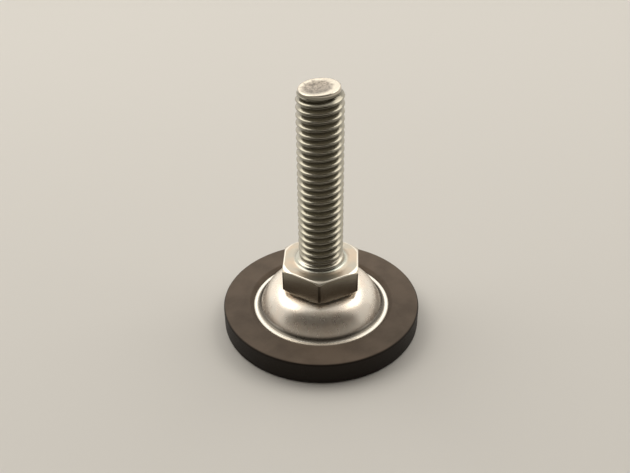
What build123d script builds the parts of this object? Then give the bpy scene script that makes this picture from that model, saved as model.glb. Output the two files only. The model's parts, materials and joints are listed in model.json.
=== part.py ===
from build123d import *
from math import cos, radians, sin, sqrt, tan
import os

# Levelling foot: a threaded stud with a spanner hexagon stands on a ball end, which is
# trapped between a pressed steel dome and a loose thrust disc on a round rubber pad.
# Millimetres, +Z up, origin at the centre of the pad's underside.

# Rubber pad
pad_radius = 21.35
pad_height = 5.0
pad_edge_round = 0.5
lip_thickness = 0.75
lip_edge = 0.1
lip_bevel = 0.85
lip_bevel_round = 0.6
pocket_depth = 1.4

# Pressed dome
sheet = 1.2
dome_rise = 5.59
side_radius = 14.0
side_centre_drop = 4.32
shoulder_inside_round = 4.3
foot_round = 1.3
flange_showing = 0.57
flange_gripped = 1.2
hole_land = 0.1

# Thrust disc
disc_radius = 11.2
disc_thickness = 1.2
disc_edge_chamfer = 0.2

# Ball end of the stud
ball_radius = 6.2
ball_centre_depth = 4.34
tilt_limit = 3.0

# Spanner hexagon, turned so that one corner points to -Y
hex_sides = 6
hex_turn = 30.0
hex_across_flats = 15.875
hex_height = 5.5
hex_corner_cut = 0.9
hex_chamfer_angle = 30.0

# Threaded shank, with the thread left as a plain cylinder of its outer diameter
thread_diameter = 9.4
shank_length = 39.3
plain_step = 0.45
plain_length = 3.7
flare_round = 2.2
runout_length = 0.8
point_step = 0.6
point_length = 0.8
dish_rim = 0.9
dish_depth = 0.3

# Clearances
ball_seat_clearance = 0.1
tip_clearance = 0.05
disc_side_clearance = 0.3
heel_clearance = 0.25
neck_clearance = 0.35
hex_clearance = 0.1

# Levels, from the pad's top face down to the disc and up to the end of the shank
flange_top = pad_height - lip_thickness
flange_bottom = flange_top - sheet
pad_floor = flange_bottom - pocket_depth
disc_top = pad_floor + disc_thickness
dome_top = flange_top + dome_rise
ball_centre = dome_top - ball_centre_depth
tilt_drop = sin(radians(tilt_limit))
hex_corner_radius = hex_across_flats / 2 / cos(radians(180 / hex_sides))
hex_face_radius = hex_corner_radius - hex_corner_cut
hex_bottom = dome_top + hex_face_radius * tilt_drop + hex_clearance
hex_top = hex_bottom + hex_height
shank_end = hex_top + shank_length

# The dome's shoulder and foot rounds are tangent to its side's arc, so their centres lie
# one round's radius inside that arc or outside it.
shoulder_round = shoulder_inside_round + sheet
side_centre = Vector(0, flange_top - side_centre_drop)
shoulder_level = dome_top - shoulder_round
shoulder_reach = sqrt((side_radius - shoulder_round) ** 2 - (shoulder_level - side_centre.Y) ** 2)
foot_level = flange_top + foot_round
foot_reach = sqrt((side_radius + foot_round) ** 2 - (foot_level - side_centre.Y) ** 2)
side_start = side_centre + (Vector(shoulder_reach, shoulder_level) - side_centre).normalized() * side_radius
side_end = side_centre + (Vector(foot_reach, foot_level) - side_centre).normalized() * side_radius
lip_radius = foot_reach + flange_showing
flange_radius = lip_radius + flange_gripped

# The hole in the dome's top is coined to the ball, with a short straight land at its mouth.
seat_radius = ball_radius + ball_seat_clearance
hole_radius = sqrt(seat_radius**2 - (ball_centre_depth - hole_land) ** 2)

os.makedirs("parts", exist_ok=True)

# Rubber pad: a disc with a pocket for the thrust disc and a groove that grips the dome's flange.
# The lip over the flange is bevelled down to a thin inner edge.
pocket_radius = disc_radius + disc_side_clearance

with BuildPart() as rubber_pad:
    with BuildSketch(Plane.XZ):
        with BuildLine():
            Polyline(
                (0, 0),
                (pad_radius, 0),
                (pad_radius, pad_height),
                (lip_radius + lip_bevel, pad_height),
                (lip_radius, flange_top + lip_edge),
                (lip_radius, flange_top),
                (flange_radius, flange_top),
                (flange_radius, flange_bottom),
                (pocket_radius, flange_bottom),
                (pocket_radius, pad_floor),
                (0, pad_floor),
                close=True,
            )
        make_face()
    revolve(axis=Axis.Z)
    outer_side = rubber_pad.faces().filter_by(GeomType.CYLINDER).sort_by(SortBy.AREA)[-1]
    fillet(outer_side.edges().filter_by(GeomType.CIRCLE), pad_edge_round)
    top_face = rubber_pad.faces().filter_by(Plane.XY).sort_by(Axis.Z)[-1]
    fillet(top_face.edges().sort_by(SortBy.RADIUS)[0], lip_bevel_round)
rubber_pad.part.label = "rubber_pad"
export_step(rubber_pad.part, "parts/rubber_pad.step")

# Pressed dome: the sheet's outer line runs from the hole over the shoulder and down the
# bellied side to the flange, and the sheet's thickness lies inside it
with BuildPart() as dome_shell:
    with BuildSketch(Plane.XZ):
        with BuildLine():
            flat = Line((hole_radius, dome_top), (shoulder_reach, dome_top))
            shoulder = TangentArc(flat @ 1, side_start, tangent=flat % 1)
            side = TangentArc(shoulder @ 1, side_end, tangent=shoulder % 1)
            foot = TangentArc(side @ 1, (foot_reach, flange_top), tangent=side % 1)
            Line(foot @ 1, (flange_radius, flange_top))
            offset(amount=sheet, side=Side.RIGHT)
        make_face()
    revolve(axis=Axis.Z)
    with Locations((0, 0, ball_centre)):
        Sphere(seat_radius, mode=Mode.SUBTRACT)
dome_shell.part.label = "dome_shell"
export_step(dome_shell.part, "parts/dome_shell.step")

# Thrust disc: a loose flat blank that lies on the pocket's floor under the ball end
with BuildPart() as thrust_disc:
    with BuildSketch(Plane.XY.offset(pad_floor)):
        Circle(disc_radius)
    extrude(amount=disc_thickness)
    chamfer(thrust_disc.edges().filter_by(GeomType.CIRCLE), disc_edge_chamfer)
thrust_disc.part.label = "thrust_disc"
export_step(thrust_disc.part, "parts/thrust_disc.step")

# Threaded stud: hexagon with turned chamfers, shank above it and ball end below it, in one piece
thread_radius = thread_diameter / 2
plain_radius = thread_radius - plain_step
plain_end = hex_top + plain_length
point_radius = thread_radius - point_step
chamfer_reach = hex_face_radius + hex_height / 2 / tan(radians(hex_chamfer_angle))

# The ball turns on a small tip of the same centre. Its heel is cut flat, high enough to
# clear the disc at full tilt, and its neck clears the hole's mouth.
tip_radius = ball_centre - disc_top - tip_clearance
heel_level = disc_top + ball_radius * tilt_drop + heel_clearance
tip_reach = sqrt(tip_radius**2 - (ball_centre - heel_level) ** 2)
heel_reach = sqrt(ball_radius**2 - (ball_centre - heel_level) ** 2)
neck_radius = hole_radius - ball_centre_depth * tilt_drop - neck_clearance
neck_level = ball_centre + sqrt(ball_radius**2 - neck_radius**2)

with BuildPart() as threaded_stud:
    with BuildSketch(Plane.XY.offset(hex_bottom)):
        RegularPolygon(hex_across_flats / 2, hex_sides, major_radius=False, rotation=hex_turn)
    extrude(amount=hex_height)
    with BuildSketch(Plane.XZ):
        with BuildLine():
            Polyline(
                (0, hex_bottom),
                (hex_face_radius, hex_bottom),
                (chamfer_reach, hex_bottom + hex_height / 2),
                (hex_face_radius, hex_top),
                (0, hex_top),
                close=True,
            )
        make_face()
    revolve(axis=Axis.Z, mode=Mode.INTERSECT)
    with BuildSketch(Plane.XZ):
        with BuildLine():
            dish = TangentArc((0, shank_end - dish_depth), (point_radius - dish_rim, shank_end), tangent=(1, 0))
            outline = Polyline(
                dish @ 1,
                (point_radius, shank_end),
                (thread_radius, shank_end - point_length),
                (thread_radius, plain_end + runout_length),
                (plain_radius, plain_end),
                (plain_radius, hex_top + flare_round),
            )
            flare = TangentArc(outline @ 1, (plain_radius + flare_round, hex_top), tangent=(0, -1))
            Polyline(flare @ 1, (0, hex_top), dish @ 0)
        make_face()
    revolve(axis=Axis.Z)
    with BuildSketch(Plane.XZ):
        with BuildLine():
            tip = TangentArc((0, ball_centre - tip_radius), (tip_reach, heel_level), tangent=(1, 0))
            heel = Line(tip @ 1, (heel_reach, heel_level))
            ball = ThreePointArc(heel @ 1, (ball_radius, ball_centre), (neck_radius, neck_level))
            Polyline(ball @ 1, (neck_radius, hex_bottom), (0, hex_bottom), tip @ 0)
        make_face()
    revolve(axis=Axis.Z)
threaded_stud.part.label = "threaded_stud"
export_step(threaded_stud.part, "parts/threaded_stud.step")
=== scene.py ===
# %% [markdown]
# # Dressing a levelling foot
# The real thing is small: a zinc-plated stud with a rolled thread and a spanner hexagon, a pressed steel
# dome that holds the stud's ball end, and a round rubber pad that the dome's flange is clipped into. The
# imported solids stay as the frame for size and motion. Bright metal shows every facet, so the surfaces that
# show are worked out again as fine grids, and the thread, which is a plain cylinder in the solids, is cut
# here.

# %% Load the frame
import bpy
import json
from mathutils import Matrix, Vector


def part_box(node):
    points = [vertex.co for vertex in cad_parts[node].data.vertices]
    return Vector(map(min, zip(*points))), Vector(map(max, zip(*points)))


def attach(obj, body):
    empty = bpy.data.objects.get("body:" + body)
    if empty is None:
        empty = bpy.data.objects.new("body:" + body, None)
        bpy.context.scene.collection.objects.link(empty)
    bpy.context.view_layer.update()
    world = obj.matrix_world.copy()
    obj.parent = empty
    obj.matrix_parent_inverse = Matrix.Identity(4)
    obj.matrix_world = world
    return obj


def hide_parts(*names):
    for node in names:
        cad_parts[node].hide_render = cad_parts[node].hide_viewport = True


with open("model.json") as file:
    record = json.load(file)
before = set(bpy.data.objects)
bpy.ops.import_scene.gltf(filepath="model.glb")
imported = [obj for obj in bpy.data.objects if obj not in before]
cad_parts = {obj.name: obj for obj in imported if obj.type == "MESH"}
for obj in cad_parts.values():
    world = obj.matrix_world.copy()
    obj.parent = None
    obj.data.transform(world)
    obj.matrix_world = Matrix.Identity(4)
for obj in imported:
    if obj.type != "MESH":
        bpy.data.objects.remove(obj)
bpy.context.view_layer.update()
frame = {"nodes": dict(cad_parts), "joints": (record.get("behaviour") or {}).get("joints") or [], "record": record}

import json

import bpy
import numpy as np
from mathutils import Matrix, Vector

# %% [markdown]
# ## Sizes
# Whatever the frame knows is read from it: the boxes of the solids, the ball's centre from the tilting
# joint, the thread's radius from the mount. What is left are the maker's small sizes, in millimetres,
# written where each piece is made. All arrays below are in millimetres, and become metres when a mesh is
# filled.

# %% Sizes from the frame
MM = 0.001


def box_mm(node):
    """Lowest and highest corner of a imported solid, in millimetres."""
    return [np.array(corner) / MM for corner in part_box(node)]


_, pad_high = box_mm("rubber_pad")
dome_low, dome_high = box_mm("dome_shell")
disc_low, disc_high = box_mm("thrust_disc")
stud_low, stud_high = box_mm("threaded_stud")
tilt = next(joint for joint in frame["joints"] if joint["name"] == "tilt")
ball_centre = tilt["pos_m"][2] / MM
thread_mount = next(mount for mount in frame["record"]["mounts"] if mount["name"] == "stud_thread")
thread_radius = thread_mount["dims"]["r_mm"]
print("pad", pad_high, "dome top", dome_high[2], "stud end", stud_high[2], "thread radius", thread_radius)

# %% [markdown]
# ## Camera
# The photograph was taken from close by, about 18 cm from the pad and looking down nearly 34 degrees, so
# the stud's end looks larger than its foot. A lens that is placed at a given point and turned by three angles
# keeps those lines; aiming the camera at the object's middle would lose the slight roll.

# %% Camera
lens_place = np.array([5.62, -136.14, 112.47])
look_down = 33.75
swing = 2.87
roll = -0.59
lens_length = 44.85
film_width = 36.0
nearest_seen = 10 * MM

camera_data = bpy.data.cameras.new("lens")
camera_data.lens = lens_length
camera_data.sensor_width = film_width
camera_data.clip_start = nearest_seen
camera = bpy.data.objects.new("lens", camera_data)
facing = (
    Matrix.Rotation(np.radians(swing), 4, "Z")
    @ Matrix.Rotation(np.radians(90 - look_down), 4, "X")
    @ Matrix.Rotation(np.radians(roll), 4, "Z")
)
camera.matrix_world = Matrix.Translation((lens_place * MM).tolist()) @ facing
bpy.context.scene.collection.objects.link(camera)
bpy.context.scene.camera = camera
print("camera", round(float(np.linalg.norm(lens_place))), "mm from the pad's middle")

# %% [markdown]
# ## Skins over grids
# Every piece here is round or nearly so. One way is to spin a profile with a modifier, another to work out
# a grid of points with a row for each station of the profile and a column for each angle. The grid is
# used, because the hexagon and the thread are then only other radii on the same grid, and the whole stud
# is one closed skin.


# %% A mesh from a grid
def skin(name, grid, ends=None, sharp_angle=40):
    """A closed mesh over a grid of points [row, column, xyz] in millimetres.

    Each face joins a row to the next row and a column to the next column, and the last column joins the
    first. With ends, two points on the axis or near it, a fan of triangles closes the first row and the
    last. Without them the last row joins the first, as on a ring. Edges that turn by more than sharp_angle
    degrees stay sharp.
    """
    rows, columns = grid.shape[:2]
    here = np.arange(rows * columns).reshape(rows, columns)
    points = grid.reshape(-1, 3)
    if ends is None:
        here = np.vstack([here, here[:1]])
    beside = np.roll(here, -1, axis=1)
    faces = np.stack([here[:-1], beside[:-1], beside[1:], here[1:]], axis=-1).reshape(-1, 4).tolist()
    if ends is not None:
        first = np.full(columns, len(points))
        faces += np.stack([beside[0], here[0], first], axis=-1).tolist()
        faces += np.stack([here[-1], beside[-1], first + 1], axis=-1).tolist()
        points = np.vstack([points, ends])
    mesh = bpy.data.meshes.new(name)
    mesh.from_pydata(points * MM, [], faces)
    mesh.polygons.foreach_set("use_smooth", np.ones(len(mesh.polygons), bool))
    mesh.set_sharp_from_angle(angle=np.radians(sharp_angle))
    piece = bpy.data.objects.new(name, mesh)
    bpy.context.scene.collection.objects.link(piece)
    print(name, len(points), "points", len(faces), "faces")
    return piece


def turned(profile, columns):
    """A profile of (radius, height) rows carried round the axis in equal steps of angle.

    x is the radius times the cosine of the angle, y the radius times its sine, and z the height.
    """
    angle = np.linspace(0, 2 * np.pi, columns, endpoint=False)
    radius, height = profile[:, :1], profile[:, 1:]
    return np.stack(np.broadcast_arrays(radius * np.cos(angle), radius * np.sin(angle), height), axis=-1)


# %% [markdown]
# ## Rubber pad
# The pad is one moulding: a disc with small rounded edges, a lip that closes over the dome's flange and
# thins to its inner edge, the groove behind that lip, and a pocket for the thrust disc. A bevel on a
# cylinder would give the outside, but not the groove, so the section is drawn once as straight runs with
# rounded corners and carried round the axis.


# %% Straight runs with rounded corners
def rounded_line(corners, radii, steps=8, hold=0.02):
    """Points along straight runs whose corners are rounded; the first and last corner stay as they are.

    Each corner becomes an arc that touches both its runs. With half the angle between the runs called h,
    the arc starts and ends radius / tan(h) from the corner, and its centre lies radius / sin(h) from the
    corner on the line that halves the angle. One more point, `hold` outside each end of the arc, keeps the
    runs flat to the eye.
    """
    corners = np.asarray(corners, float)
    radii = np.asarray(radii, float)[:, None]
    back = corners[:-2] - corners[1:-1]
    on = corners[2:] - corners[1:-1]
    back /= np.linalg.norm(back, axis=1, keepdims=True)
    on /= np.linalg.norm(on, axis=1, keepdims=True)
    half = np.arccos(np.clip((back * on).sum(axis=1, keepdims=True), -1, 1)) / 2
    middle = back + on
    centre = corners[1:-1] + radii / np.sin(half) * middle / np.linalg.norm(middle, axis=1, keepdims=True)
    start = corners[1:-1] + radii / np.tan(half) * back
    end = corners[1:-1] + radii / np.tan(half) * on
    share = np.linspace(0, 1, steps)[None, :, None]
    sweep = (np.pi - 2 * half)[:, None, :]
    from_start = (start - centre)[:, None, :] * np.sin((1 - share) * sweep)
    from_end = (end - centre)[:, None, :] * np.sin(share * sweep)
    arc = centre[:, None, :] + (from_start + from_end) / np.sin(sweep)
    held = np.concatenate([(start + hold * back)[:, None], arc, (end + hold * on)[:, None]], axis=1)
    return np.vstack([corners[:1], held.reshape(-1, 2), corners[-1:]])


# %% Rubber pad
pad_radius, pad_height = pad_high[0], pad_high[2]
flange_radius, flange_bottom = dome_high[0], dome_low[2]
sheet = 1.2
flange_top = flange_bottom + sheet
flange_gripped = 1.2
lip_radius = flange_radius - flange_gripped
lip_edge, lip_bevel = 0.1, 0.85
disc_clearance = 0.3
pocket_radius = disc_high[0] + disc_clearance
pocket_floor = disc_low[2]
pad_round, bevel_round, tip_round, mould_round = 0.5, 0.6, 0.04, 0.06
axis_gap = 0.5

pad_section = rounded_line(
    [
        (axis_gap, 0),
        (pad_radius, 0),
        (pad_radius, pad_height),
        (lip_radius + lip_bevel, pad_height),
        (lip_radius, flange_top + lip_edge),
        (lip_radius, flange_top),
        (flange_radius, flange_top),
        (flange_radius, flange_bottom),
        (pocket_radius, flange_bottom),
        (pocket_radius, pocket_floor),
        (axis_gap, pocket_floor),
    ],
    [pad_round, pad_round, bevel_round, tip_round, tip_round] + [mould_round] * 4,
)
moulded_pad = skin("moulded_pad", turned(pad_section, columns=240), ends=((0, 0, 0), (0, 0, pocket_floor)))

# %% [markdown]
# ## Pressed dome
# The dome is drawn from one blank of sheet: a flat ring round the hole, a shoulder, a bellied side that is
# part of a sphere, a small round at the foot, and the flange. Each stretch is an arc, and the arcs meet
# without a corner, so the outside is written by the direction its surface faces: from straight up, over
# the shoulder and down the side, and up again through the foot. The inside is the same line, one sheet
# thickness further in. The hole is coined to the ball, so its wall is part of a sphere about the ball's
# centre.

# %% Arcs of the dome
dome_top = dome_high[2]
side_radius = 14.0
side_centre_drop = 4.32
side_centre = flange_top - side_centre_drop
shoulder_round = 5.5
foot_round = 1.3


def arc_reach(distance, level):
    """How far from the axis a centre lies that is `level` high and `distance` from the side's own centre.

    The root of the distance squared less the difference in height squared.
    """
    return np.sqrt(distance**2 - (level - side_centre) ** 2)


shoulder_level = dome_top - shoulder_round
shoulder_reach = arc_reach(side_radius - shoulder_round, shoulder_level)
foot_level = flange_top + foot_round
foot_reach = arc_reach(side_radius + foot_round, foot_level)
upright = np.pi / 2
shoulder_facing = np.arctan2(shoulder_level - side_centre, shoulder_reach)
foot_facing = np.arctan2(foot_level - side_centre, foot_reach)

stretches = [
    # centre's reach, centre's level, radius (negative where the sheet bends outwards),
    # facing from, facing to, rows
    (shoulder_reach, shoulder_level, shoulder_round, upright, shoulder_facing, 24),
    (0, side_centre, side_radius, shoulder_facing, foot_facing, 30),
    (foot_reach, foot_level, -foot_round, foot_facing, upright, 14),
]
facing_angle = np.concatenate(
    [np.linspace(first, last, count, endpoint=False) for *_, first, last, count in stretches]
)
arc_centre = np.concatenate([np.tile([reach, level], (count, 1)) for reach, level, *_, count in stretches])
arc_radius = np.concatenate([np.full(count, radius) for _, _, radius, *_, count in stretches])
normal = np.stack([np.cos(facing_angle), np.sin(facing_angle)], axis=1)
bend = arc_centre + arc_radius[:, None] * normal
print("dome foot at", round(foot_reach, 2), "mm, shoulder at", round(shoulder_reach, 2), "mm from the axis")

# %% Pressed dome
seat_radius = 6.3
seat_rows = 10
hole_land = 0.1
hole_radius = np.sqrt(seat_radius**2 - (dome_top - hole_land - ball_centre) ** 2)
flat_ring = np.linspace(hole_radius, shoulder_reach, 3, endpoint=False)
flange_run = np.linspace(foot_reach, flange_radius, 5)
outside = np.vstack(
    [
        np.stack([flat_ring, np.full_like(flat_ring, dome_top)], axis=1),
        bend,
        np.stack([flange_run, np.full_like(flange_run, flange_top)], axis=1),
    ]
)
seat_start = np.arccos(hole_radius / seat_radius)
seat_end = np.arcsin((dome_top - sheet - ball_centre) / seat_radius)
seat_angle = np.linspace(seat_start, seat_end, seat_rows)
seat = np.stack([seat_radius * np.cos(seat_angle), ball_centre + seat_radius * np.sin(seat_angle)], axis=1)
inside = np.vstack(
    [
        bend - sheet * normal,
        np.stack([flange_run, np.full_like(flange_run, flange_bottom)], axis=1),
    ]
)
dome_section = np.vstack([outside[::-1], seat, inside])
pressed_dome = skin("pressed_dome", turned(dome_section, columns=216))

# %% [markdown]
# ## Stud: hexagon
# The stud is cold-formed in one piece, so it is one skin here: ball, neck, hexagon, flare, thread and end.
# Its rows are stations from the ball's tip up to the end, and its columns stand closer together at the
# hexagon's six corners, so that a corner's small round is real geometry. The hexagon is a radius that
# depends on the angle, and its turned chamfers are a cone: where the cone is the smaller radius, it wins,
# and the change-over is rounded a little.

# %% Columns and the hexagon's radius
flats = 6
columns_per_flat = 22
flat_reach = stud_high[0]
corner_sharpness = 110
face_angles = np.arange(flats) * 2 * np.pi / flats
spread = np.linspace(-1, 1, columns_per_flat, endpoint=False)
around = (face_angles[:, None] + np.pi / flats * np.sin(spread * np.pi / 2)).ravel()


def soft_min(a, b, blend):
    """The lesser of two lengths, rounded where they change over.

    Minus blend times the logarithm of exp(-a / blend) + exp(-b / blend).
    """
    return -blend * np.logaddexp(-a / blend, -b / blend)


# Distance to the rounded hexagon: half the width across flats over the p-norm of the cosines to the faces.
leans = np.clip(np.cos(around[:, None] - face_angles), 0, None)
hexagon = flat_reach / (leans**corner_sharpness).sum(axis=1) ** (1 / corner_sharpness)
print("hexagon from", round(hexagon.min(), 3), "to", round(hexagon.max(), 3), "mm")

# %% Levels and small sizes of the hexagon
shank_end = stud_high[2]
shank_length = 39.3
hex_height = 5.5
hex_top = shank_end - shank_length
hex_bottom = hex_top - hex_height
hex_middle = hex_top - hex_height / 2
corner_cut = 0.9
chamfer_reach = flat_reach / np.cos(np.pi / flats) - corner_cut
chamfer_slope = np.tan(np.radians(30))
chamfer_end = 0.75
chamfer_rows = 10
hex_edge = 0.25
edge_rows = 7
neck_radius = 4.08
flare_round = 2.2
plain_step = 0.45
plain_radius = thread_radius - plain_step
flare_reach = plain_radius + flare_round
print("hexagon", round(2 * flat_reach, 3), "mm wide, from", round(hex_bottom, 2), "to", round(hex_top, 2))


# %% Hexagon rows
def rows_of(radius, height):
    """Rows of the stud's grid, as (radius, height) at each station and angle."""
    return np.stack(np.broadcast_arrays(radius, height, around[None, :])[:2], axis=-1)


def hexagon_at(depth):
    """The hexagon's radius at a depth below its nearer end face.

    The lesser of the hexagon and the chamfer's cone, which widens by depth / slope.
    """
    return soft_min(hexagon[None, :], chamfer_reach + depth / chamfer_slope, blend=0.025)


edge_turn = np.radians(np.linspace(0, 90, edge_rows))[:, None]
edge_depth = hex_edge * (1 - np.cos(edge_turn))
edge_inset = hex_edge * (1 - np.sin(edge_turn))
rim = hexagon_at(0.0) - hex_edge
chamfer_depth = np.linspace(hex_edge, chamfer_end, chamfer_rows + 1)[1:, None]
half_side = np.vstack([hexagon_at(edge_depth) - edge_inset, hexagon_at(chamfer_depth)])
half_depth = np.vstack([edge_depth, chamfer_depth])
side_rows = rows_of(
    np.vstack([half_side, half_side[::-1]]),
    np.vstack([hex_bottom + half_depth, hex_top - half_depth[::-1]]),
)
across = np.array([0.0, 0.4, 0.8, 0.96])[:, None]
under_rows = rows_of(neck_radius + across * (rim - neck_radius), hex_bottom)
top_rows = rows_of(rim + (1 - across[::-1]) * (flare_reach - rim), hex_top)[:-1]
print("hexagon rows:", len(under_rows), "under,", len(side_rows), "at the side,", len(top_rows), "on top")

# %% [markdown]
# ## Stud: ball end
# Below the hexagon the stud goes on into the dome: a neck, the ball that the dome holds, and a small tip
# on which it turns. None of it shows at rest, but the neck can be glimpsed when the stud tilts, and the
# mesh should be whole. A separate sphere would leave a seam, so these are more rows of the same grid.

# %% Ball end rows
ball_radius = 6.2
heel_drop = 2.08
tip_start = np.radians(-84)
tip_radius = ball_centre - stud_low[2]


def ball_arc(radius, first, last, count):
    """Rows on a sphere about the ball's centre, from one angle above the horizon to another.

    A row's radius is the sphere's radius times the cosine of the angle, and its height is the ball's centre
    plus the sphere's radius times the sine.
    """
    angle = np.linspace(first, last, count)[:, None]
    return rows_of(radius * np.cos(angle), ball_centre + radius * np.sin(angle))


tip_rows = ball_arc(tip_radius, tip_start, -np.arcsin(heel_drop / tip_radius), 8)
heel_angle, neck_angle = -np.arcsin(heel_drop / ball_radius), np.arccos(neck_radius / ball_radius)
ball_rows = ball_arc(ball_radius, heel_angle, neck_angle, 20)
print("ball", 2 * ball_radius, "mm across, tip at", round(ball_centre - tip_radius, 2))

# %% [markdown]
# ## Stud: thread
# The thread is rolled, three eighths of an inch with sixteen turns to the inch, right-handed, with 60
# degree flanks. A screw modifier could wind it, but it would not close on the hexagon. On the grid it is
# one more formula: the radius depends on how far along the shank a point lies from the nearest crest. The
# crests fade out over the flare, as they do where the rolling dies stop, so there they stand up along the
# flare's own normal. At the far end they fade into a short plain point, a little thicker than the roots.

# %% Thread formula
pitch = 25.4 / 16
thread_depth = 0.61 * pitch
crest_flat = pitch / 8
crest_angle = np.radians(233.2)
crest_height = 52.63
flank = np.tan(np.radians(30))


def thread_at(height):
    """Radius of the thread at each angle and height along the shank.

    The crest's line rises one pitch in each turn. Away from it the radius falls at 1 / tan(30 degrees) for
    each unit along the axis, and it is cut flat, with soft corners, at the crest and at the root.
    """
    turns = (height - crest_height) / pitch - (around[None, :] - crest_angle) / (2 * np.pi)
    away = np.abs(turns - np.round(turns)) * pitch
    fall = (away - crest_flat / 2) / flank
    fall = -soft_min(-fall, 0.0, blend=0.05)
    return thread_radius - soft_min(fall, thread_depth, blend=0.06)


print("thread from", round(thread_radius - thread_depth, 2), "to", thread_radius, "mm radius")

# %% Stations of the shank
rows_per_turn = 22
flare_rows = 40
end_round = 0.3

# Stations run up the flare, a quarter circle, and then up the plain shank. The normal turns from upright
# to level.
flare_turn = np.radians(np.linspace(0, 90, flare_rows))[:, None]
flare_end = hex_top + flare_round
shank_steps = int(np.ceil((shank_end - end_round - flare_end) / pitch * rows_per_turn))
shank_height = np.linspace(flare_end, shank_end - end_round, shank_steps)[1:, None]
turn = np.vstack([flare_turn, np.full_like(shank_height, np.pi / 2)])
plain = plain_radius + flare_round * (1 - np.sin(turn))
station = np.vstack([flare_end - flare_round * np.cos(flare_turn), shank_height])
along = np.vstack([flare_end - flare_round * (np.pi / 2 - flare_turn), shank_height])
print("shank", len(station), "stations")

# %% Shank rows
fade_start, fade_end = hex_top - 1.2, hex_top + 3.5
point_step = 0.6
point_reach = thread_radius - point_step
point_start, point_full = shank_end - 1.6, shank_end - 0.95


def smooth(share):
    """A share from 0 to 1, eased at both ends: its square times 3 less twice the share."""
    share = np.clip(share, 0, 1)
    return share**2 * (3 - 2 * share)


# The thread stands on the plain line along its normal, and fades with the distance along it.
fade = smooth((along - fade_start) / (fade_end - fade_start))
ridge = fade * (thread_at(along) - plain_radius)
shank_level = station + ridge * np.cos(turn)
closing = smooth((shank_level - point_start) / (point_full - point_start))
shank = (plain + ridge * np.sin(turn)) * (1 - closing) + point_reach * closing
shank_rows = rows_of(shank, shank_level)
print("thread", round((shank_end - fade_end) / pitch, 1), "full turns of", round(pitch, 4), "mm")

# %% [markdown]
# ## Stud: end
# The end is sheared, not faced: it slopes a few degrees to the left, its edge is rounded, and its middle
# is a shallow dish that lies off centre. The rows shrink the point's outline towards the axis, a smooth
# bowl is taken off their height, and the last turn and a half is sheared to the slope.

# %% End rows
dish_depth = 0.34
dish_radius = 3.4
dish_wall = 0.8 * dish_radius
dish_middle = np.array([-0.6, -0.1])
face_rings = 16


def dish_at(radius):
    """Depth of the dish at points on the end: full in its middle, easing to nothing at its radius."""
    x = radius * np.cos(around) - dish_middle[0]
    y = radius * np.sin(around) - dish_middle[1]
    return dish_depth * smooth((dish_radius - np.hypot(x, y)) / dish_wall)


end_turn = edge_turn[1:]
outline = shank[-1:]
round_rows = rows_of(
    outline - end_round * (1 - np.cos(end_turn)),
    shank_end - end_round * (1 - np.sin(end_turn)),
)
shrink = np.linspace(1, 0, face_rings + 2)[1:-1, None]
face = (outline - end_round) * shrink
face_rows = rows_of(face, shank_end - dish_at(face))
print("end", len(round_rows) + len(face_rows), "rows, dish", dish_depth, "mm deep")

# %% The whole stud
end_slope = np.array([0.075, 0.036])
end_shift = -0.15
sheared_turns = 1.5

stud_rows = np.concatenate(
    [tip_rows, ball_rows, under_rows, side_rows, top_rows, shank_rows, round_rows, face_rows]
)
radius, height = stud_rows[..., 0], stud_rows[..., 1]
stud_grid = np.stack([radius * np.cos(around), radius * np.sin(around), height], axis=-1)
slope_share = np.clip((height - shank_end) / (sheared_turns * pitch) + 1, 0, 1)
slope_drop = np.linalg.norm(end_slope) * point_reach
stud_grid[..., 2] += slope_share * (stud_grid[..., :2] @ end_slope - slope_drop)
stud_grid[..., 0] += slope_share * end_shift
end_middle = (end_shift, 0, float(shank_end - dish_at(np.zeros((1, 1)))[0, 0] - slope_drop))
threaded_stud = skin("stud_with_thread", stud_grid, ends=((0, 0, stud_low[2]), end_middle))

# %% [markdown]
# ## Colours, nodes and zones
# Colours are written as they look, as sRGB hex values, and one function turns them into the linear numbers
# that the shader needs. One small function adds a node, sets its own options and fills its sockets with
# values or links. Each piece is one skin, so a finish tells its parts apart by where a point lies. Those
# zones are written as a table of lengths, which one loop turns into masks. Painting the parts by hand
# would need images.


# %% Helpers for materials
def linear(colour):
    """An sRGB hex colour as linear RGBA.

    A small channel c becomes c / 12.92, and a larger one ((c + 0.055) / 1.055) to the power of 2.4.
    """
    channel = np.array([int(colour[i : i + 2], 16) for i in (1, 3, 5)]) / 255
    light = np.where(channel <= 0.04045, channel / 12.92, ((channel + 0.055) / 1.055) ** 2.4)
    return (*light.tolist(), 1.0)


def add(tree, kind, sockets, **options):
    """Adds a node to a tree: options go to the node, and each socket gets a value or a link.

    A Mix node has its colours on sockets 6 and 7 and on output 2, and its numbers on sockets 2 and 3 and on
    output 0.
    """
    made = tree.nodes.new("ShaderNode" + kind)
    for name, value in options.items():
        setattr(made, name, value)
    for name, value in sockets.items():
        if isinstance(value, bpy.types.NodeSocket):
            tree.links.new(value, made.inputs[name])
        else:
            made.inputs[name].default_value = value
    return made


def per_mm(size):
    """The scale of a texture on Object coordinates, in metres, with features `size` millimetres wide."""
    return 1 / (size * MM)


# %% Helpers for finishes
def new_finish(name):
    """An empty material, its node tree and its Principled shader."""
    finish = bpy.data.materials.new(name)
    finish.use_nodes = True
    return finish, finish.node_tree, finish.node_tree.nodes["Principled BSDF"]


def point_on(tree):
    """Where a shaded point lies: its place, the place below it on the floor, its level and its reach."""
    place = add(tree, "TexCoord", {}).outputs["Object"]
    level = add(tree, "SeparateXYZ", {"Vector": place}).outputs["Z"]
    flat_place = add(tree, "VectorMath", {0: place, 1: (1, 1, 0)}, operation="MULTIPLY").outputs[0]
    reach = add(tree, "VectorMath", {0: flat_place}, operation="LENGTH").outputs["Value"]
    return place, flat_place, level, reach


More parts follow.
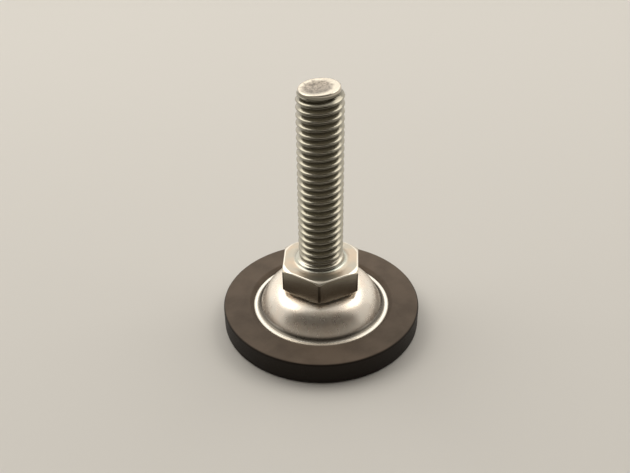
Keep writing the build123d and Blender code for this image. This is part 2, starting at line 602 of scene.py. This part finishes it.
def zones(tree, table, unit=MM):
    """Masks by name from a table of (measure, first, last), in millimetres unless another unit is given.

    A mask is 0 where the measure is on the near side of first, 1 where it is past last, and eased between.
    """
    masks = {}
    for name, (measure, first, last) in table.items():
        sockets = {"Value": measure, "From Min": float(first * unit), "From Max": float(last * unit)}
        masks[name] = add(tree, "MapRange", sockets, interpolation_type="SMOOTHSTEP").outputs[0]
    return masks


print("white is", linear("#FFFFFF"), "and a 2 mm pattern has scale", per_mm(2.0))

# %% [markdown]
# ## Zinc plate on cold-formed steel
# Bright zinc is a thin electroplate over the rolled and forged surface. It reflects like a slightly soft
# mirror, and its tint drifts from rosy to blue-green over a few millimetres, where the clear passivate is
# thicker or thinner. The thread's roots are painted darker than its crests, a painted shade. The hexagon's
# flats are painted grey, a painted dark reflection; its top is satin, and a bright line painted along the
# edges of that top is a painted highlight. A plain grey metal would look like chrome. Several materials on
# one mesh would meet in hard lines, so one material fades from zone to zone.

# %% Zinc on the stud: where a point lies
stud_finish, tree, shader = new_finish("zinc_plated_cold_formed_steel")
place, flat_place, level, reach = point_on(tree)

# Up or down from the hexagon's middle, and a measure that stays the same along the chamfers' cones.
from_middle = add(tree, "Math", {0: level, 1: float(hex_middle * MM)}, operation="SUBTRACT").outputs[0]
from_middle = add(tree, "Math", {0: from_middle}, operation="ABSOLUTE").outputs[0]
cone_sockets = {0: reach, 1: float(chamfer_slope), 2: from_middle}
cone = add(tree, "Math", cone_sockets, operation="MULTIPLY_ADD").outputs[0]
cone_line = hex_height / 2 + chamfer_reach * chamfer_slope

# Across the flats: the largest of the distances from the axis towards the three pairs of flats.
across_flats = 0.0
for angle in face_angles[: flats // 2]:
    way = (float(np.cos(angle)), float(np.sin(angle)), 0.0)
    lean = add(tree, "VectorMath", {0: place, 1: way}, operation="DOT_PRODUCT").outputs["Value"]
    lean = add(tree, "Math", {0: lean}, operation="ABSOLUTE").outputs[0]
    across_flats = add(tree, "Math", {0: across_flats, 1: lean}, operation="MAXIMUM").outputs[0]

# From the middle of the end's dish, with a ragged edge from blotches about 1.2 mm wide.
ragged = 2.4
blotch = add(tree, "TexNoise", {"Vector": place, "Scale": per_mm(1.2), "Detail": 4.0}).outputs["Fac"]
from_dish = add(tree, "VectorMath", {0: flat_place, 1: (*(dish_middle * MM), 0)}, operation="DISTANCE")
dish_sockets = {0: blotch, 1: ragged * MM, 2: from_dish.outputs["Value"]}
dish_distance = add(tree, "Math", dish_sockets, operation="MULTIPLY_ADD").outputs[0]
print("stud finish:", stud_finish.name)

# %% Zinc on the stud: zones
half_height = hex_height / 2
hex_corner = hexagon.max()
zone = zones(
    tree,
    {
        # flare and thread
        "near_flare": (reach, flare_reach, flare_reach - 0.9),
        "low_shank": (level, hex_top + 1.6, hex_top + 0.2),
        "on_thread": (level, hex_top - 0.2, hex_top + 2.0),
        "off_root": (reach, thread_radius - thread_depth, thread_radius - 0.1),
        # flats, between the chamfers' cones and the end faces and outside the neck, and their corners
        "in_cones": (cone, cone_line - 0.04, cone_line - 0.3),
        "in_ends": (from_middle, half_height - 0.02, half_height - 0.3),
        "off_neck": (reach, flat_reach - 0.5, flat_reach - 0.3),
        "at_corner": (reach, hex_corner - 0.14, hex_corner - 0.06),
        # top of the hexagon and the edges round it
        "upper_half": (level, hex_middle - 0.5, hex_middle + 0.5),
        "off_flare": (reach, flare_reach - 1.2, flare_reach - 0.5),
        "at_flat": (across_flats, flat_reach - 0.4, flat_reach - 0.2),
        "at_cone": (reach, chamfer_reach - 0.35, chamfer_reach - 0.15),
        "near_top": (level, hex_top - 0.3, hex_top - 0.15),
        # plain point and dish
        "at_end": (level, shank_end - 0.9, shank_end - 0.75),
        "in_dish": (dish_distance, 4.6, 3.5),
    },
)
print("zones on the stud:", ", ".join(zone))

# %% Zinc on the stud: drifting tint and thread
# The passivate's tint drifts over about 3 mm. Where the flare meets the hexagon's top it is painted bluer and
# darker: partly the passivate's tint, partly a painted reflection of the dark above.
drift = add(tree, "TexNoise", {"Vector": place, "Scale": per_mm(3.0), "Detail": 2.0}).outputs["Fac"]
rosy_share = add(tree, "MapRange", {"Value": drift, "From Min": 0.35, "From Max": 0.65}).outputs[0]
plate = {0: rosy_share, 6: linear("#DAD5CA"), 7: linear("#E0D4C6")}
tint = add(tree, "Mix", plate, data_type="RGBA").outputs[2]
blue_sockets = {0: zone["near_flare"], 1: zone["low_shank"]}
blue_share = add(tree, "Math", blue_sockets, operation="MULTIPLY").outputs[0]
blue_share = add(tree, "Math", {0: blue_share, 1: drift}, operation="MULTIPLY").outputs[0]
tint = add(tree, "Mix", {0: blue_share, 6: tint, 7: linear("#A9B9B2")}, data_type="RGBA").outputs[2]

# The thread is duller than the head, because the dies leave it matt. Its roots are painted darker than its
# crests, a painted shade in the grooves. The plain point beyond it is bright again.
tint = add(tree, "Mix", {0: zone["on_thread"], 6: tint, 7: linear("#A6A295")}, data_type="RGBA").outputs[2]
open_sockets = {0: zone["off_root"], 1: zone["at_end"]}
open_share = add(tree, "Math", open_sockets, operation="MAXIMUM").outputs[0]
tint = add(tree, "Mix", {0: open_share, 6: linear("#7A766B"), 7: tint}, data_type="RGBA").outputs[2]
tint = add(tree, "Mix", {0: zone["at_end"], 6: tint, 7: linear("#D3CBBD")}, data_type="RGBA").outputs[2]
print("thread: pitch", round(pitch, 4), "mm, roots darker")

# %% Zinc on the stud: hexagon
# The flats are painted a darker grey than the top, a painted dark reflection.
flats_share = add(tree, "Math", {0: zone["in_cones"], 1: zone["in_ends"]}, operation="MULTIPLY").outputs[0]
flats_share = add(tree, "Math", {0: flats_share, 1: zone["off_neck"]}, operation="MULTIPLY").outputs[0]
tint = add(tree, "Mix", {0: flats_share, 6: tint, 7: linear("#A39C8F")}, data_type="RGBA").outputs[2]

# The top and its chamfers are satin and a little rosy: they were pressed in the die and never rolled.
satin = add(tree, "Math", {0: zone["upper_half"], 1: zone["off_flare"]}, operation="MULTIPLY").outputs[0]
satin = add(tree, "Math", {0: satin, 1: flats_share}, operation="SUBTRACT", use_clamp=True).outputs[0]
pressed = {0: rosy_share, 6: linear("#B8B3A7"), 7: linear("#C5B6A4")}
pressed_tint = add(tree, "Mix", pressed, data_type="RGBA").outputs[2]
tint = add(tree, "Mix", {0: satin, 6: tint, 7: pressed_tint}, data_type="RGBA").outputs[2]

# A painted highlight: a bright line is painted along the top's rim, along the flats and where the cone cuts
# a corner, where the rounded edge catches the light.
painted_rim_highlight = add(tree, "Math", {0: zone["at_flat"], 1: zone["at_cone"]}, operation="MAXIMUM").outputs[0]
painted_rim_highlight = add(tree, "Math", {0: painted_rim_highlight, 1: zone["near_top"]}, operation="MULTIPLY").outputs[0]
tint = add(tree, "Mix", {0: painted_rim_highlight, 6: tint, 7: linear("#F4EEE2")}, data_type="RGBA").outputs[2]

# Painted shade: the upright corners are painted as thin dark lines, where they mirror the dark in front.
painted_corner_shade = add(tree, "Math", {0: zone["at_corner"], 1: flats_share}, operation="MULTIPLY").outputs[0]
tint = add(tree, "Mix", {0: painted_corner_shade, 6: tint, 7: linear("#5A5349")}, data_type="RGBA").outputs[2]
print("hexagon: grey flats, satin top, bright rim")

# %% Zinc on the stud: sheared end
# The dish was torn in shearing, so it is dull, with flecks of 0.4 mm, and its rim is bright.
flecks = add(tree, "TexNoise", {"Vector": place, "Scale": per_mm(0.4), "Detail": 2.0}).outputs["Fac"]
fleck_share = add(tree, "MapRange", {"Value": flecks, "From Min": 0.4, "From Max": 0.62}).outputs[0]
torn = {0: fleck_share, 6: linear("#837C74"), 7: linear("#B4AA9E")}
torn_tint = add(tree, "Mix", torn, data_type="RGBA").outputs[2]
dull = add(tree, "Math", {0: zone["at_end"], 1: zone["in_dish"]}, operation="MULTIPLY").outputs[0]
tint = add(tree, "Mix", {0: dull, 6: tint, 7: torn_tint}, data_type="RGBA").outputs[2]
tree.links.new(tint, shader.inputs["Base Color"])
print("end: torn dish", 2 * dish_radius, "mm wide")

# %% Zinc on the stud: gloss and grain
# Grain of the plate, about 0.25 mm, in gloss and in relief; the torn dish and the satin top are rougher.
rougher = 0.14
rim_roughness = 0.3
grain = add(tree, "TexNoise", {"Vector": place, "Scale": per_mm(0.25), "Detail": 3.0}).outputs["Fac"]
grain_range = {"Value": grain, "From Min": 0.3, "From Max": 0.7, "To Min": 0.19, "To Max": 0.26}
gloss = add(tree, "MapRange", grain_range).outputs[0]
gloss = add(tree, "Math", {0: dull, 1: rougher, 2: gloss}, operation="MULTIPLY_ADD").outputs[0]
gloss = add(tree, "Math", {0: satin, 1: rougher, 2: gloss}, operation="MULTIPLY_ADD").outputs[0]
gloss = add(tree, "Mix", {0: painted_rim_highlight, 2: gloss, 3: rim_roughness}).outputs[0]
tree.links.new(gloss, shader.inputs["Roughness"])
relief = add(tree, "Bump", {"Height": grain, "Strength": 0.06, "Distance": 0.01 * MM}).outputs[0]
tree.links.new(relief, shader.inputs["Normal"])
shader.inputs["Metallic"].default_value = 1.0
threaded_stud.data.materials.append(stud_finish)
print("stud finish:", len(tree.nodes), "nodes")

# %% [markdown]
# ## Zinc plate on pressed sheet
# The dome's sheet is smooth before it is pressed and plated, so it is the brightest surface. What keeps it
# from being a mirror are faint waves, about two millimetres wide, from the press, fine draw marks that run
# down its side, and a thin milky film of passivate. The crease at its foot and the flange at the rubber lip
# are painted dark, a painted shade, and the flange that the press irons flat shows as a bright ring between
# them. Modelled dents would be too coarse for this, so it stays in the finish.

# %% Zinc on the dome: tint
dome_finish, tree, shader = new_finish("zinc_plated_pressed_steel")
place, _, _, reach = point_on(tree)
drift = add(tree, "TexNoise", {"Vector": place, "Scale": per_mm(4.0), "Detail": 2.0}).outputs["Fac"]
rosy_share = add(tree, "MapRange", {"Value": drift, "From Min": 0.35, "From Max": 0.65}).outputs[0]
plate = {0: rosy_share, 6: linear("#F0E9DE"), 7: linear("#F4E8DA")}
tint = add(tree, "Mix", plate, data_type="RGBA").outputs[2]

# The crease at the foot and the flange at and under the lip are painted dark, a painted shade. Between them
# the ironed flange is the brightest part.
zone = zones(
    tree,
    {
        "in_crease": (reach, foot_reach - 1.4, foot_reach - 0.85),
        "past_crease": (reach, foot_reach - 0.5, foot_reach - 0.05),
        "before_lip": (reach, lip_radius + 0.05, lip_radius - 0.4),
    },
)
tint = add(tree, "Mix", {0: zone["in_crease"], 6: tint, 7: linear("#6C675F")}, data_type="RGBA").outputs[2]
ironed = add(tree, "Math", {0: zone["past_crease"], 1: zone["before_lip"]}, operation="MULTIPLY").outputs[0]
tint = add(tree, "Mix", {0: ironed, 6: tint, 7: linear("#EBE6DC")}, data_type="RGBA").outputs[2]
tree.links.new(tint, shader.inputs["Base Color"])
print("dome finish:", dome_finish.name)

# %% Zinc on the dome: draw marks and waves
# Draw marks are 0.7 mm wide and run upright for about 5 mm; the waves are 2.2 mm wide.
mark_width, mark_length, wave_width = 0.7, 5.0, 2.2
ironed_roughness = 0.2
mark_scale = (per_mm(mark_width), per_mm(mark_width), per_mm(mark_length))
mark_place = add(tree, "Mapping", {"Vector": place, "Scale": mark_scale}).outputs[0]
marks = add(tree, "TexNoise", {"Vector": mark_place, "Scale": 1.0, "Detail": 0.0}).outputs["Fac"]
mark_range = {"Value": marks, "From Min": 0.3, "From Max": 0.7, "To Min": 0.27, "To Max": 0.3}
gloss = add(tree, "MapRange", mark_range).outputs[0]
gloss = add(tree, "Mix", {0: ironed, 2: gloss, 3: ironed_roughness}).outputs[0]
tree.links.new(gloss, shader.inputs["Roughness"])
waves = add(tree, "TexNoise", {"Vector": place, "Scale": per_mm(wave_width), "Detail": 0.0}).outputs["Fac"]
relief = add(tree, "Bump", {"Height": waves, "Strength": 0.1, "Distance": 0.02 * MM}).outputs[0]
tree.links.new(relief, shader.inputs["Normal"])

# The milky film scatters a fifth of the light.
shader.inputs["Metallic"].default_value = 0.8
pressed_dome.data.materials.append(dome_finish)
print("dome finish:", len(tree.nodes), "nodes")

# %% [markdown]
# ## Moulded rubber
# The pad is black rubber, moulded in a blasted tool: matt, a little brown, with a grain too fine to see
# singly. Its top is painted paler than its side, in patches, as a painted sheen. Flat black would lose its
# form. The painted sheen could follow the way the surface faces, but a table of lengths is easier to read
# and gives a clean edge, so it follows the place: the upper half of the pad, inside its rounded edge.

# %% Rubber on the pad: painted sheen
pad_finish, tree, shader = new_finish("moulded_black_rubber")
place, _, level, reach = point_on(tree)
zone = zones(
    tree,
    {
        "off_edge": (reach, pad_radius - 0.08, pad_radius - 0.4),
        "upper_half": (level, pad_height / 4, pad_height / 2),
    },
)
patches = add(tree, "TexNoise", {"Vector": place, "Scale": per_mm(5.0), "Detail": 4.0}).outputs["Fac"]
patch_range = {"Value": patches, "From Min": 0.3, "From Max": 0.6, "To Min": 0.7}
patch_share = add(tree, "MapRange", patch_range).outputs[0]
# Painted sheen: the top, inside the rounded edge, is painted paler than the side, in patches.
painted_top_sheen = add(tree, "Math", {0: zone["off_edge"], 1: zone["upper_half"]}, operation="MULTIPLY").outputs[0]
painted_top_sheen = add(tree, "Math", {0: painted_top_sheen, 1: patch_share}, operation="MULTIPLY").outputs[0]
rubber = {0: painted_top_sheen, 6: linear("#14100E"), 7: linear("#63574C")}
tint = add(tree, "Mix", rubber, data_type="RGBA").outputs[2]
tree.links.new(tint, shader.inputs["Base Color"])
print("pad finish:", pad_finish.name)

# %% Rubber on the pad: grain
# The mould's grain is about 0.1 mm; it is drawn at 0.22 mm so that it shows.
grain = add(tree, "TexNoise", {"Vector": place, "Scale": per_mm(0.22), "Detail": 3.0}).outputs["Fac"]
grain_range = {"Value": grain, "From Min": 0.3, "From Max": 0.7, "To Min": 0.48, "To Max": 0.64}
gloss = add(tree, "MapRange", grain_range).outputs[0]
tree.links.new(gloss, shader.inputs["Roughness"])
relief = add(tree, "Bump", {"Height": grain, "Strength": 0.35, "Distance": 0.03 * MM}).outputs[0]
tree.links.new(relief, shader.inputs["Normal"])
shader.inputs["IOR"].default_value = 1.52
shader.inputs["Specular IOR Level"].default_value = 0.25
shader.inputs["Specular Tint"].default_value = linear("#FFEEDD")
moulded_pad.data.materials.append(pad_finish)
print("pad finish:", len(tree.nodes), "nodes")

# %% [markdown]
# ## Thrust disc
# The loose disc under the ball is punched from plain strip and left bare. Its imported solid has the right
# shape, so it stays and only gets a finish: grey steel, a little oily, with the strip's rolling lines
# along one direction. The lines could be scratches in the mesh, but nobody sees them from outside, so
# noise drawn long is enough.

# %% Bare steel on the disc
disc_finish, tree, shader = new_finish("bare_cold_rolled_strip")
place = add(tree, "TexCoord", {}).outputs["Object"]
line_width, line_length = 0.2, 6.0
line_scale = (per_mm(line_width), per_mm(line_length), per_mm(line_length))
line_place = add(tree, "Mapping", {"Vector": place, "Scale": line_scale}).outputs[0]
lines = add(tree, "TexNoise", {"Vector": line_place, "Scale": 1.0, "Detail": 2.0}).outputs["Fac"]
strip = {0: lines, 6: linear("#7E7C79"), 7: linear("#9B9894")}
tint = add(tree, "Mix", strip, data_type="RGBA").outputs[2]
tree.links.new(tint, shader.inputs["Base Color"])
gloss = add(tree, "MapRange", {"Value": lines, "To Min": 0.28, "To Max": 0.45}).outputs[0]
tree.links.new(gloss, shader.inputs["Roughness"])
shader.inputs["Metallic"].default_value = 1.0
frame["nodes"]["thrust_disc"].material_slots[0].material = disc_finish
print("disc finish:", disc_finish.name)

# %% [markdown]
# ## Who moves with whom
# The pad and the dome stand still, the stud turns and tilts, and the disc turns under it. Each new skin
# takes the place of one imported solid and rides on that solid's body.

# %% Bodies and replaced solids
for piece, node, body, slot in (
    (moulded_pad, "rubber_pad", "base", "black_rubber"),
    (pressed_dome, "dome_shell", "base", "zinc_plated_shell"),
    (threaded_stud, "threaded_stud", "stud", "zinc_plated_stud"),
):
    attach(piece, body)
    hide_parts(node)
    print(piece.name, "rides on", body, "for", node)

# %% [markdown]
# ## Floor
# The floor is a plain, pale and matt board, which keeps the object's soft shadow. It is round, so that no
# corner of it comes into view from any side.

# %% Floor
floor_radius = 4.0
floor_sides = 96
floor_angle = np.linspace(0, 2 * np.pi, floor_sides, endpoint=False)
floor_edge = floor_radius * np.stack([np.cos(floor_angle), np.sin(floor_angle), 0 * floor_angle], axis=1)
floor_mesh = bpy.data.meshes.new("floor")
floor_mesh.from_pydata(floor_edge.tolist(), [], [range(floor_sides)])
floor_finish, _, shader = new_finish("matt_pale_board")
shader.inputs["Base Color"].default_value = linear("#DCDAD6")
shader.inputs["Roughness"].default_value = 0.7
shader.inputs["Specular IOR Level"].default_value = 0.2
floor_mesh.materials.append(floor_finish)
floor = bpy.data.objects.new("floor", floor_mesh)
bpy.context.scene.collection.objects.link(floor)
print("floor", 2 * floor_radius, "m wide")

# %% [markdown]
# ## Light
# Bright metal shows what stands round it, so the light is shaped as in a photographer's tent: pale cloth
# to the left, to the right and behind, and the dark of the room in front, where the camera looks in, up to
# a paler ceiling. The metal mirrors that dark in the middle of the thread and of the dome, and that gives
# them their form. Cards round the object could do the same, but they would show in other views, so the
# tent is the world's colour by direction. Three softboxes behind the object give the highlights. Two large
# weak ones stand low behind it: they are dimmer than the cloth they hide, so the thread's edges stand out
# from the pale floor.

# %% Tent of pale cloth
opening_half, opening_soft = 72, 6
opening_edge, opening_core = np.cos(np.radians([opening_half + opening_soft, opening_half - opening_soft]))
opening_heading = np.radians(2)
opening_way = (np.sin(opening_heading), -np.cos(opening_heading), 0)
opening_low, opening_high = np.sin(np.radians([-2, 6]))
room_low, room_high = np.sin(np.radians([12, 24]))
ceiling_low, ceiling_high = np.sin(np.radians([58, 80]))

world = bpy.data.worlds.new("tent")
world.use_nodes = True
sky = world.node_tree
bearing = add(sky, "TexCoord", {}).outputs["Generated"]
parts = add(sky, "SeparateXYZ", {"Vector": bearing}).outputs
level_part = add(sky, "VectorMath", {0: bearing, 1: (1, 1, 0)}, operation="MULTIPLY").outputs[0]
heading = add(sky, "VectorMath", {0: level_part}, operation="NORMALIZE").outputs[0]
towards = add(sky, "VectorMath", {0: heading, 1: opening_way}, operation="DOT_PRODUCT").outputs["Value"]
zone = zones(
    sky,
    {
        "in_front": (towards, opening_edge, opening_core),
        "above_table": (parts["Z"], opening_low, opening_high),
        "deep_room": (parts["Z"], room_low, room_high),
        "ceiling": (parts["Z"], ceiling_low, ceiling_high),
        "to_right": (parts["X"], -0.6, 0.6),
    },
    unit=1.0,
)
print("tent: open", 2 * opening_half, "degrees in front")

# %% Colours of the tent
room = {0: zone["deep_room"], 6: linear("#716A61"), 7: linear("#3D3832")}
room_tint = add(sky, "Mix", room, data_type="RGBA").outputs[2]
ceiling = {0: zone["ceiling"], 6: room_tint, 7: linear("#8A8379")}
room_tint = add(sky, "Mix", ceiling, data_type="RGBA").outputs[2]
cloth = {0: zone["to_right"], 6: linear("#EFEBE4"), 7: linear("#DAD6CF")}
cloth_tint = add(sky, "Mix", cloth, data_type="RGBA").outputs[2]
opening = add(sky, "Math", {0: zone["in_front"], 1: zone["above_table"]}, operation="MULTIPLY").outputs[0]
seen = add(sky, "Mix", {0: opening, 6: cloth_tint, 7: room_tint}, data_type="RGBA").outputs[2]
sky.links.new(seen, sky.nodes["Background"].inputs["Color"])
bpy.context.scene.world = world
print("tent:", len(sky.nodes), "nodes")

# %% Softboxes
lamp_distance = 0.5
lamp_target = Vector((0, 0, 0.02))
lamp_colour = linear("#FFF9EF")[:3]


def softbox(name, heading_deg, lift_deg, size, radiance):
    """A rectangular lamp aimed at the object; heading 0 is the camera's side, and to the right is positive.

    A flat lamp that shines evenly needs pi times its area times its radiance in watts.
    """
    heading, lift = np.radians([heading_deg, lift_deg])
    away = Vector((np.sin(heading) * np.cos(lift), -np.cos(heading) * np.cos(lift), np.sin(lift)))
    lamp = bpy.data.lights.new(name, "AREA")
    lamp.shape = "RECTANGLE"
    lamp.size, lamp.size_y = size
    lamp.energy = np.pi * size[0] * size[1] * radiance
    lamp.color = lamp_colour
    box = bpy.data.objects.new(name, lamp)
    aim = away.to_track_quat("Z", "Y").to_matrix().to_4x4()
    box.matrix_world = Matrix.Translation(lamp_target + lamp_distance * away) @ aim
    bpy.context.scene.collection.objects.link(box)
    print(name, size, "m,", round(lamp.energy, 2), "W")


softbox("softbox_left", -119, 50, (0.40, 0.28), radiance=1.9)
softbox("softbox_right", 126, 51, (0.36, 0.22), radiance=1.9)
softbox("softbox_back", 180, 37, (0.30, 0.16), radiance=1.05)
softbox("softbox_low_left", -138, 18, (0.48, 0.27), radiance=0.3)
softbox("softbox_low_right", 138, 18, (0.48, 0.27), radiance=0.3)

# %% [markdown]
# ## Finish
# The Standard view shows colours about as they are written.

# %% View
bpy.context.scene.view_settings.view_transform = "Standard"
